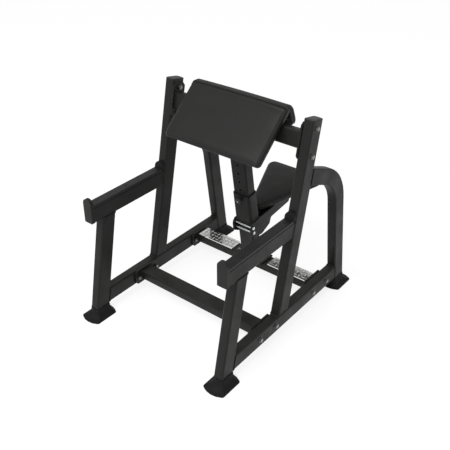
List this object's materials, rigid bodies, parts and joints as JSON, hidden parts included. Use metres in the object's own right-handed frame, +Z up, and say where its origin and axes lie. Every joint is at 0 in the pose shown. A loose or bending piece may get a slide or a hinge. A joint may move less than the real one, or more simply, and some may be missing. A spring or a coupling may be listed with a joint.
{
  "type": "biceps machine",
  "caption": "Free-standing biceps curl bench with a peaked arm pad, two bar rests, and a seat that slides on a leaning column.",
  "frame": {"origin": "on the floor, under the middle of the whole bench", "axes": "+Z up, +X across the bench, -Y towards the bar rests, +Y towards the seat"},
  "size_m": [0.894, 1.235, 1.08],
  "materials": {
    "powder_coat": "satin",
    "rubber": "matte",
    "wear_plastic": "satin",
    "moulded_plastic": "satin",
    "vinyl": "satin",
    "plywood": "matte",
    "zinc": "satin",
    "chrome": "polished",
    "tread_plate": "bright"
  },
  "bodies": {
    "frame": {"arm_front_stop_left": "powder_coat", "arm_front_stop_right": "powder_coat", "arm_liner_left": "wear_plastic", "arm_liner_right": "wear_plastic", "arm_pad": "vinyl", "arm_rear_stop_left": "rubber", "arm_rear_stop_right": "rubber", "bar_arm_left": "powder_coat", "bar_arm_right": "powder_coat", "base_rail_left": "powder_coat", "base_rail_right": "powder_coat", "bolt_front_1_left": "zinc", "bolt_front_1_right": "zinc", "bolt_front_2_left": "zinc", "bolt_front_2_right": "zinc", "bolt_rear_1_left": "zinc", "bolt_rear_1_right": "zinc", "bolt_rear_2_left": "zinc", "bolt_rear_2_right": "zinc", "bolt_upper_1_left": "zinc", "bolt_upper_1_right": "zinc", "bolt_upper_2_left": "zinc", "bolt_upper_2_right": "zinc", "column": "powder_coat", "foot_plate_left": "tread_plate", "foot_plate_right": "tread_plate", "front_crossbar": "powder_coat", "front_foot_left": "rubber", "front_foot_right": "rubber", "front_post_left": "powder_coat", "front_post_right": "powder_coat", "pad_board_front": "plywood", "pad_board_rear": "plywood", "pad_bracket_left": "powder_coat", "pad_bracket_right": "powder_coat", "rear_crossbar": "powder_coat", "rear_foot_left": "rubber", "rear_foot_right": "rubber", "rear_leg_left": "powder_coat", "rear_leg_right": "powder_coat", "upper_crossbar": "powder_coat", "upright_cap_left": "moulded_plastic", "upright_cap_right": "moulded_plastic", "upright_left": "powder_coat", "upright_right": "powder_coat"},
    "seat_carriage": {"bracket_web": "powder_coat", "carriage_sleeve": "powder_coat", "cross_pin_lower": "chrome", "cross_pin_upper": "chrome", "pin_housing": "powder_coat", "pin_spring": "zinc", "seat_board": "plywood", "seat_pad": "vinyl", "seat_plate": "powder_coat", "side_plate_left": "powder_coat", "side_plate_right": "powder_coat", "sleeve_bush_lower": "moulded_plastic", "sleeve_bush_upper": "moulded_plastic"},
    "pull_pin": {"pin_knob": "moulded_plastic", "pin_plunger": "chrome"}
  },
  "joints": [
    {"name": "seat_slide", "type": "slide", "parent": "frame", "child": "seat_carriage", "axis": [0, -0.1771, 0.9842], "range_m": [0, 0.2]},
    {"name": "pull_pin", "type": "slide", "parent": "seat_carriage", "child": "pull_pin", "axis": [0, -0.9842, -0.1771], "range_m": [0, 0.008], "stiffness_N_per_m": 600, "springref_m": -0.008, "deforming": ["pin_spring"]}
  ]
}
